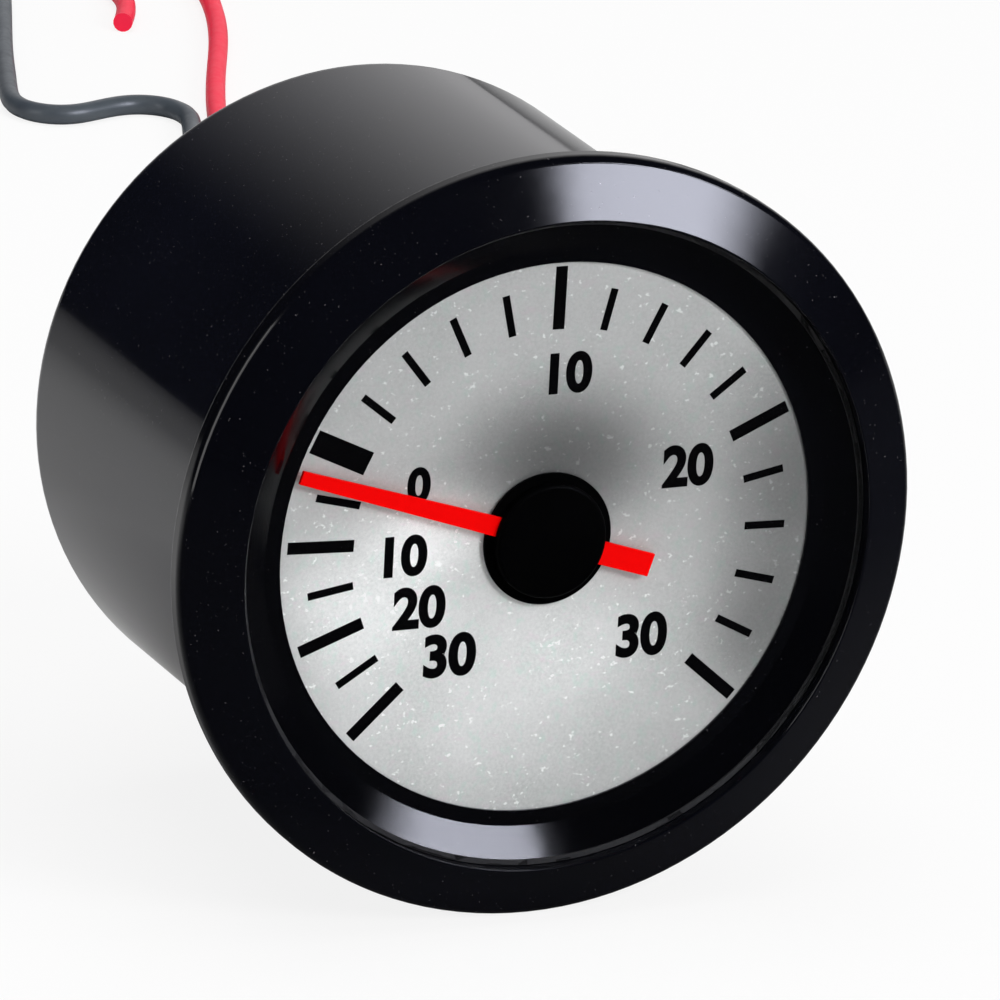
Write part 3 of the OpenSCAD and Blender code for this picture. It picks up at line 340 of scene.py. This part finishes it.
# Kind and values of each finish
FINISH_VALUES = {
    "case_black": (black_gloss, {"tint": (0.0035, 0.004, 0.008), "rough": 0.07, "specular": 0.38,
                                 "dust": 1.0}),
    "bezel_black": (black_gloss, {"tint": (0.002, 0.0022, 0.004), "rough": 0.1, "specular": 0.38,
                                  "dust": 0.6}),
    "surround_black": (black_gloss, {"tint": (0.001, 0.0011, 0.002), "rough": 0.09, "specular": 0.34,
                                     "dust": 0.0}),
    "hub_black": (plastic, {"light": (0.0008, 0.0008, 0.001), "dark": (0.0004, 0.0004, 0.0005), "rough": 0.5,
                            "scale": 3.0, "bump": 0.06, "specular": 0.02}),
    "rubber_black": (plastic, {"light": (0.03, 0.03, 0.032), "dark": (0.018, 0.018, 0.02), "rough": 0.75,
                               "scale": 3.0, "bump": 0.3}),
    "white_plastic": (plastic, {"light": (0.85, 0.85, 0.83), "dark": (0.78, 0.78, 0.76), "rough": 0.5}),
    "socket_plastic": (plastic, {"light": (0.035, 0.035, 0.037), "dark": (0.022, 0.022, 0.024),
                                 "rough": 0.45}),
    "lead_red": (plastic, {"light": (1.0, 0.014, 0.065), "dark": (0.97, 0.01, 0.055), "rough": 0.4,
                           "scale": 1.5, "bump": 0.05, "specular": 0.25}),
    "lead_black": (plastic, {"light": (0.075, 0.09, 0.105), "dark": (0.05, 0.062, 0.078), "rough": 0.4,
                             "scale": 1.5, "bump": 0.05}),
    "lens_glass": (clear, {"tint": (0.001, 0.001, 0.001), "alpha": 0.03, "rough": 0.02}),
    "bulb_glass": (clear, {"tint": (0.9, 0.9, 0.88), "alpha": 0.25, "rough": 0.03}),
    "dial_silver": (spun_silver, {}),
    "pointer_red": (ink, {"colour": (0.95, 0.0, 0.0), "rough": 0.5, "specular": 0.03}),
    "print_ink": (ink, {"colour": (0.0015, 0.0015, 0.002), "rough": 0.55, "specular": 0.02}),
    "steel_arbor": (metal, {"light": (0.62, 0.63, 0.65), "dark": (0.48, 0.49, 0.51), "rough": 0.22,
                            "grain": (1, 0.2, 1)}),
    "brass": (metal, {"light": (0.83, 0.62, 0.3), "dark": (0.66, 0.47, 0.2), "rough": 0.28}),
    "spring_bronze": (metal, {"light": (0.8, 0.55, 0.33), "dark": (0.62, 0.4, 0.22), "rough": 0.3}),
    "zinc_steel": (metal, {"light": (0.68, 0.69, 0.68), "dark": (0.5, 0.52, 0.5), "rough": 0.3}),
    "tube_bronze": (metal, {"light": (0.78, 0.5, 0.26), "dark": (0.55, 0.32, 0.15), "rough": 0.3}),
    "socket_brass": (metal, {"light": (0.8, 0.6, 0.28), "dark": (0.62, 0.44, 0.18), "rough": 0.3,
                             "grain": (0.2, 1, 0.2)}),
    "filament_wire": (metal, {"light": (0.4, 0.4, 0.42), "dark": (0.3, 0.3, 0.32), "rough": 0.35}),
}
FINISHES = {name: make(name, **values) for name, (make, values) in FINISH_VALUES.items()}
SLOTS = {row["node"]: row["material_slot"] for row in frame["record"]["subparts"]}

for node_name, node_object in nodes.items():
    node_object.data.materials.clear()
    node_object.data.materials.append(FINISHES[SLOTS[node_name]])


# Shared shapes

def metres(*place):
    """A place in millimetres, in metres."""
    return tuple(value * MM for value in place)


def clock(radius, angle):
    """Place across and up of a point at an angle in degrees, clockwise from the top."""
    turn = math.radians(angle)
    return radius * math.sin(turn), radius * math.cos(turn)


def piece(name, vertices, faces, material, smooth=False):
    """New mesh object from vertices in millimetres."""
    mesh = bpy.data.meshes.new(name)
    mesh.from_pydata([metres(*place) for place in vertices], [], faces)
    mesh.materials.append(material)
    for polygon in mesh.polygons:
        polygon.use_smooth = smooth
    obj = bpy.data.objects.new(name, mesh)
    scene.collection.objects.link(obj)
    return obj


def loft(name, rings, material, smooth=False):
    """Closed skin over rings of points, all with the same number of points."""
    count = len(rings[0])
    last = (len(rings) - 1) * count
    faces = []
    for first in range(0, last, count):
        second = first + count
        for i in range(count):
            j = (i + 1) % count
            faces.append((first + i, first + j, second + j, second + i))
    faces.append(tuple(range(count))[::-1])
    faces.append(tuple(range(last, last + count)))
    return piece(name, [place for ring in rings for place in ring], faces, material, smooth)


# Leads

LEAD_D = 1.8
LAY_Z = -29.1
LAMP_X, LAMP_Z = 10.607, -10.607
LEAD_Y = 49.1
LEAD_HALF_GAP = 1.1
LEAD_STRAIGHT = 2 * LEAD_D
CURVE_ORDER = 4
CURVE_STEPS = 8
ROUND_STEPS = 6

RED_ROUTE = [
    (11.8, 55, -12.2), (11.9, 59, -15.8), (12, 62, -20), (12.2, 65, -24.2), (12.6, 68.6, -27.4),
    (13.4, 73, -28.9), (15, 78.5, LAY_Z), (17.6, 86, LAY_Z), (21, 96, LAY_Z), (24.8, 107, LAY_Z),
    (28.8, 118.5, LAY_Z), (33, 130, LAY_Z), (37.2, 142, LAY_Z), (41.4, 154.5, LAY_Z),
    (45.4, 167, LAY_Z), (49.2, 178.5, LAY_Z), (52.7, 188.5, LAY_Z), (55.9, 197.7, LAY_Z),
    (58.5, 204.3, LAY_Z), (61.4, 211.1, LAY_Z), (64.3, 217.6, LAY_Z), (66.9, 224.2, LAY_Z),
    (68.9, 230.5, LAY_Z), (70.2, 235.6, LAY_Z), (70.3, 238.6, LAY_Z), (69.4, 241.2, LAY_Z),
    (67.2, 242.7, LAY_Z), (64.5, 242.5, LAY_Z), (62.5, 240.7, LAY_Z), (61.9, 238, LAY_Z),
    (61.8, 234.5, LAY_Z), (60.6, 230.6, LAY_Z), (58.6, 226.9, LAY_Z)]
BLACK_ROUTE = [
    (9.3, 55, -12.2), (9.2, 59, -15.8), (9.2, 62, -20), (9.3, 65, -24.2), (9.6, 68.6, -27.4),
    (10.3, 73, -28.9), (11.8, 78.5, LAY_Z), (14.4, 86, LAY_Z), (17.9, 96, LAY_Z), (21.8, 107, LAY_Z),
    (26, 118.5, LAY_Z), (30.3, 130, LAY_Z), (34.6, 142, LAY_Z), (38.9, 154.5, LAY_Z), (43, 167, LAY_Z),
    (46.7, 178.5, LAY_Z), (49.9, 188.3, LAY_Z), (51.9, 193.6, LAY_Z), (53.2, 197, LAY_Z),
    (53, 199.8, LAY_Z), (51.5, 201.8, LAY_Z), (49, 202.5, LAY_Z), (46.2, 201.6, LAY_Z),
    (43.6, 200.6, LAY_Z), (41.3, 201, LAY_Z), (39.6, 202.8, LAY_Z), (39.2, 205.4, LAY_Z),
    (40.2, 208.9, LAY_Z), (41.8, 213.3, LAY_Z), (43.9, 219.4, LAY_Z), (46.4, 226, LAY_Z),
    (48.9, 232.4, LAY_Z), (51.4, 239, LAY_Z), (54, 246, LAY_Z)]


def lead(name, side, route, slot):
    """Insulated wire as one smooth curve, straight out of the boot and then along its route."""
    start = (LAMP_X + side * LEAD_HALF_GAP, LEAD_Y, LAMP_Z)
    points = [start, (start[0], LEAD_Y + LEAD_STRAIGHT, LAMP_Z), *route]
    data = bpy.data.curves.new(name, "CURVE")
    data.dimensions = "3D"
    data.bevel_depth = LEAD_D / 2 * MM
    data.bevel_resolution = ROUND_STEPS
    data.resolution_u = CURVE_STEPS
    data.use_fill_caps = True
    spline = data.splines.new("NURBS")
    spline.points.add(len(points) - 1)
    for point, place in zip(spline.points, points):
        point.co = (*metres(*place), 1)
    spline.order_u = CURVE_ORDER
    spline.use_endpoint_u = True
    data.materials.append(FINISHES[slot])
    obj = bpy.data.objects.new(name, data)
    scene.collection.objects.link(obj)
    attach(obj, "housing")
    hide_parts(name.replace("_wire", "_lead"))


lead("red_wire", 1, RED_ROUTE, "lead_red")
lead("black_wire", -1, BLACK_ROUTE, "lead_black")


# Dial print: marks and plain numbers on a thin layer of ink

PRINT_T = 0.02
DIAL_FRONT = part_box("dial_plate")[0][1] / MM
ZERO_CLOCK = -64.5
ZERO_W = 1.9
MAJOR_W, MINOR_W = 0.95, 0.6

# Angle between marks, number of marks, how many to each long mark, span of a long and a short mark
PRESSURE_SCALE = (13.03, 15, 5, (16.4, 21.35), (16.5, 19.8))
VACUUM_SCALE = (-11.5, 6, 2, (15.7, 21.1), (15.8, 19.5))

# Number, place across and up, width, height
NUMBERS = [
    ("0", -10.6, 5.0, 1.9, 2.9),
    ("10", 1.4, 12.9, 3.5, 3.3),
    ("20", 11.5, 4.7, 4.2, 3.4),
    ("30", 8.4, -8.5, 4.2, 3.5),
    ("10", -11.4, -0.5, 3.5, 3.3),
    ("20", -10.1, -4.7, 4.3, 3.4),
    ("30", -7.4, -8.7, 4.3, 3.5),
]
BOLD = 0.04


class Print:
    """Collects the printed shapes, which become one thin piece on the dial."""

    def __init__(self):
        self.vertices = []
        self.faces = []

    def add(self, vertices, faces):
        """Adds one shape, its faces numbered from its own first vertex."""
        first = len(self.vertices)
        self.vertices += vertices
        self.faces += [[first + i for i in face] for face in faces]

    def mark(self, angle, span, width):
        """One straight mark of the scale, as a thin block."""
        corners = []
        for radius, side in zip((span[0], span[0], span[1], span[1]), (-1, 1, 1, -1)):
            out, aside = clock(radius, angle), clock(side * width / 2, angle + 90)
            corners.append((out[0] + aside[0], out[1] + aside[1]))
        front = [(x, DIAL_FRONT - PRINT_T, z) for x, z in corners]
        back = [(x, DIAL_FRONT, z) for x, z in corners]
        count = len(corners)
        sides = [(i, (i + 1) % count, count + (i + 1) % count, count + i) for i in range(count)]
        self.add(front + back, [tuple(range(count))[::-1], tuple(range(count, 2 * count)), *sides])

    def scale(self, step, marks, to_long, long_span, short_span):
        """All marks of one half of the dial, counted from the zero mark."""
        for i in range(1, marks + 1):
            is_long = i % to_long == 0
            self.mark(ZERO_CLOCK + i * step, long_span if is_long else short_span,
                      MAJOR_W if is_long else MINOR_W)

    def number(self, figures, across, up, width, height):
        """One number in the plain built-in typeface, fitted to its width and height."""
        data = bpy.data.curves.new("number", "FONT")
        data.body = figures
        data.offset = BOLD
        data.extrude = 1
        obj = bpy.data.objects.new("number", data)
        scene.collection.objects.link(obj)
        mesh = bpy.data.meshes.new_from_object(obj.evaluated_get(bpy.context.evaluated_depsgraph_get()))
        places = [vertex.co.copy() for vertex in mesh.vertices]
        low = [min(place[axis] for place in places) for axis in range(2)]
        high = [max(place[axis] for place in places) for axis in range(2)]
        middle = [(low[axis] + high[axis]) / 2 for axis in range(2)]
        grow = (width / (high[0] - low[0]), height / (high[1] - low[1]))
        self.add([(across + (place[0] - middle[0]) * grow[0],
                   DIAL_FRONT - PRINT_T * (1 + place[2]) / 2,
                   up + (place[1] - middle[1]) * grow[1]) for place in places],
                 [list(polygon.vertices) for polygon in mesh.polygons])
        bpy.data.objects.remove(obj)
        bpy.data.curves.remove(data)
        bpy.data.meshes.remove(mesh)


dial_print = Print()
dial_print.scale(*PRESSURE_SCALE)
dial_print.scale(*VACUUM_SCALE)
dial_print.mark(ZERO_CLOCK, PRESSURE_SCALE[3], ZERO_W)
for row in NUMBERS:
    dial_print.number(*row)
print_piece = piece("dial_print", dial_print.vertices, dial_print.faces, FINISHES["print_ink"])
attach(print_piece, "housing")


# Bourdon tube, curved from its socket to its end cap

TUBE_R = 20.5
TUBE_Y = 18.0
TUBE_W, TUBE_T = 7.0, 2.2
TUBE_CLOCK, TUBE_ARC, TUBE_GRIP = 197, 250, 3
TUBE_STEPS = 140
TUBE_END_STEPS = 12


def tube_section():
    """Flat oval of the tube: place out from its curve and place along the axis."""
    half, straight = TUBE_T / 2, (TUBE_W - TUBE_T) / 2
    places = []
    for end in (1, -1):
        for i in range(TUBE_END_STEPS + 1):
            turn = math.pi * i / TUBE_END_STEPS
            places.append((end * half * math.cos(turn), end * (straight + half * math.sin(turn))))
    return places


def tube_ring(angle):
    """The tube's section at one angle of its curve."""
    ring = []
    for out, along in tube_section():
        x, z = clock(TUBE_R + out, angle)
        ring.append((x, TUBE_Y + along, z))
    return ring


def sprung_tube():
    """Curved tube from its grip in the socket to its grip in the end cap."""
    first, whole = TUBE_CLOCK - TUBE_GRIP, TUBE_ARC + 2 * TUBE_GRIP
    rings = [tube_ring(first + whole * step / TUBE_STEPS) for step in range(TUBE_STEPS + 1)]
    return loft("sprung_tube", rings, FINISHES["tube_bronze"], smooth=True)


tube = sprung_tube()
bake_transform(tube)
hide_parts("bourdon_tube")


# Threads on the pressure stem and the two studs

THREAD_STEPS = 48
THREAD_SINK = 0.05
THREAD_TOP = 0.12
RUN_OUT = 0.5
# Height and place along the axis of the ridge's corners, as shares of its height and its pitch
THREAD_PROFILE = ((0, -0.45), (1, -0.12), (1, 0.12), (0, 0.45))
STEM_R, STEM_SPAN, STEM_PITCH = 5.14, (44.9, 52.3), 0.94
STUD_R, STUD_SPAN, STUD_PITCH = 2.0, (43.5, 52.0), 0.7
STUD_REACH = 17


def thread(name, across, radius, span, pitch, slot):
    """Helical ridge with a flattened crest that tapers into the shaft at both of its ends."""
    turns = (span[1] - span[0] - pitch) / pitch
    steps = round(turns * THREAD_STEPS)
    rings = []
    for step in range(steps + 1):
        along = turns * step / steps
        rise = min(1, along / RUN_OUT, (turns - along) / RUN_OUT)
        ring = []
        for high, shift in THREAD_PROFILE:
            x, z = clock(radius - THREAD_SINK + high * rise * (THREAD_SINK + THREAD_TOP), 360 * along)
            ring.append((across + x, span[0] + pitch * (0.5 + along + shift), z))
        rings.append(ring)
    ridge = loft(name, rings, FINISHES[slot])
    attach(ridge, "housing")


thread("stem_thread", 0, STEM_R, STEM_SPAN, STEM_PITCH, SLOTS["pressure_socket"])
for side, place in (("left", -STUD_REACH), ("right", STUD_REACH)):
    thread("stud_thread_" + side, place, STUD_R, STUD_SPAN, STUD_PITCH, SLOTS["rear_studs"])


# Floor, which shows white and in gloss falls off in front and far away

FLOOR_LEVEL = -0.030
FLOOR_HALF = 3.0
FLOOR_PALE = [(0.3, (0.86, 0.86, 0.86)), (0.7, (0.88, 0.88, 0.88))]
FLOOR_GLOW = 0.86
LIT_CENTRE = (-0.12, 0.08, 0.0)
LIT_SPAN = (0.1, 0.25)
FRONT_SPAN = (-0.01, 0.08)
FAR_GLOSS = 0.62
FRONT_GLOSS = 0.04


def floor():
    """Pale plain floor with the object's soft shadow."""
    mesh = bpy.data.meshes.new("floor")
    corners = ((-1, -1), (1, -1), (1, 1), (-1, 1))
    face = tuple(range(len(corners)))
    mesh.from_pydata([(x * FLOOR_HALF, y * FLOOR_HALF, 0) for x, y in corners], [], [face])
    obj = bpy.data.objects.new("floor", mesh)
    obj.location.z = FLOOR_LEVEL
    scene.collection.objects.link(obj)
    shader = Shader("floor")
    shader.set(Roughness=0.9, Specular_IOR_Level=0.1)
    pale = shader.ramp(shader.noise(scale=0.004, detail=2), FLOOR_PALE)
    place = shader.coordinates("Object")
    far = shader.range(shader.away(place, LIT_CENTRE), *LIT_SPAN, 1, FAR_GLOSS)
    front = shader.range(shader.split(place)["Y"], *FRONT_SPAN, FRONT_GLOSS, 1)
    paths = shader.add("ShaderNodeLightPath").outputs
    dark = shader.math("SUBTRACT", 1, shader.math("MULTIPLY", far, front))
    fall = shader.math("MULTIPLY", dark, paths["Is Glossy Ray"])
    shader.link(shader.mix(fall, pale, (0.0, 0.0, 0.0)), shader.body.inputs["Base Color"])
    seen = shader.math("MAXIMUM", paths["Is Camera Ray"], paths["Is Transmission Ray"])
    glow = shader.add("ShaderNodeEmission")
    glow.inputs["Strength"].default_value = 1.0
    blend = shader.add("ShaderNodeMixShader")
    share = shader.math("MULTIPLY", seen, FLOOR_GLOW)
    for socket, source in zip(blend.inputs, (share, shader.body.outputs["BSDF"], glow.outputs["Emission"])):
        shader.link(source, socket)
    shader.link(blend.outputs["Shader"], shader.output.inputs["Surface"])
    mesh.materials.append(shader.material)


# Lamps and world

# Two lamps show only in gloss and two light only what is dull
LAMPS = [
    {"name": "front", "place": (0.62, -0.66, 0.5), "size": (0.72, 0.38), "power": 16.0,
     "colour": (0.84, 0.86, 1.0), "diffuse": False, "fade": 0.3},
    {"name": "key", "place": (0.5, -0.9, 0.6), "size": (0.5, 0.5), "power": 8.0, "glossy": False},
    {"name": "left_strip", "place": (-0.9, -0.1, 0.32), "size": (0.5, 0.7), "power": 3.5,
     "diffuse": False, "fade": 0.45},
    {"name": "top", "place": (0.0, 0.1, 1.2), "size": (1.0, 1.0), "power": 8.0, "glossy": False},
]

SOFT_LIGHT = 0.33
GLOSS_BASE = 0.012
GLOSS_BEHIND = 0.8
# Directions between which the gloss light comes up behind the object, to its right and above the floor
GLOSS_SPANS = {"Y": (0.35, 0.75), "X": (-0.3, 0.45), "Z": (-0.3, 0.1)}
WORLD_COLOUR = (1.0, 0.99, 1.0)


def fade_sides(data, fade):
    """Lets a lamp's glow fade softly over a share of its width at both sides."""
    data.use_nodes = True
    graph = Nodes(data.node_tree)
    lamp = next(node for node in graph.tree.nodes if node.type == "EMISSION")
    across = graph.split(graph.add("ShaderNodeNewGeometry").outputs["Parametric"])["X"]
    near = graph.range(across, 0, fade, kind="SMOOTHSTEP")
    far = graph.range(across, 1, 1 - fade, kind="SMOOTHSTEP")
    graph.link(graph.math("MULTIPLY", near, far), lamp.inputs["Strength"])


def softbox(name, place, size, power, colour=(1, 1, 1), diffuse=True, glossy=True, fade=0.0):
    """Rectangular area lamp aimed at the gauge."""
    data = bpy.data.lights.new(name, "AREA")
    data.shape = "RECTANGLE"
    data.size, data.size_y = size
    data.energy = power
    data.color = colour
    if fade:
        fade_sides(data, fade)
    obj = bpy.data.objects.new(name, data)
    obj.location = place
    obj.rotation_euler = (-Vector(place)).to_track_quat("-Z", "Y").to_euler()
    obj.visible_camera = False
    obj.visible_diffuse = diffuse
    obj.visible_glossy = glossy
    scene.collection.objects.link(obj)


def world():
    """Even soft light, white to the camera; in gloss it is dark and grows pale behind on the right."""
    scene.world = bpy.data.worlds.new("world")
    scene.world.use_nodes = True
    graph = Nodes(scene.world.node_tree)
    graph.tree.nodes.clear()
    direction = graph.split(graph.coordinates("Generated"))
    shown = GLOSS_BEHIND
    for axis, span in GLOSS_SPANS.items():
        shown = graph.math("MULTIPLY", graph.range(direction[axis], *span, kind="SMOOTHSTEP"), shown)
    paths = graph.add("ShaderNodeLightPath").outputs
    gloss = graph.math("MULTIPLY", graph.math("ADD", shown, GLOSS_BASE), paths["Is Glossy Ray"])
    soft = graph.math("MULTIPLY", graph.math("SUBTRACT", 1.0, paths["Is Glossy Ray"]), SOFT_LIGHT)
    seen = graph.math("MAXIMUM", paths["Is Camera Ray"], paths["Is Transmission Ray"])
    background = graph.add("ShaderNodeBackground")
    background.inputs["Color"].default_value = (*WORLD_COLOUR, 1)
    graph.link(graph.math("MAXIMUM", graph.math("ADD", gloss, soft), seen), background.inputs["Strength"])
    out = graph.add("ShaderNodeOutputWorld")
    graph.link(background.outputs["Background"], out.inputs["Surface"])


floor()
world()
for row in LAMPS:
    softbox(**row)
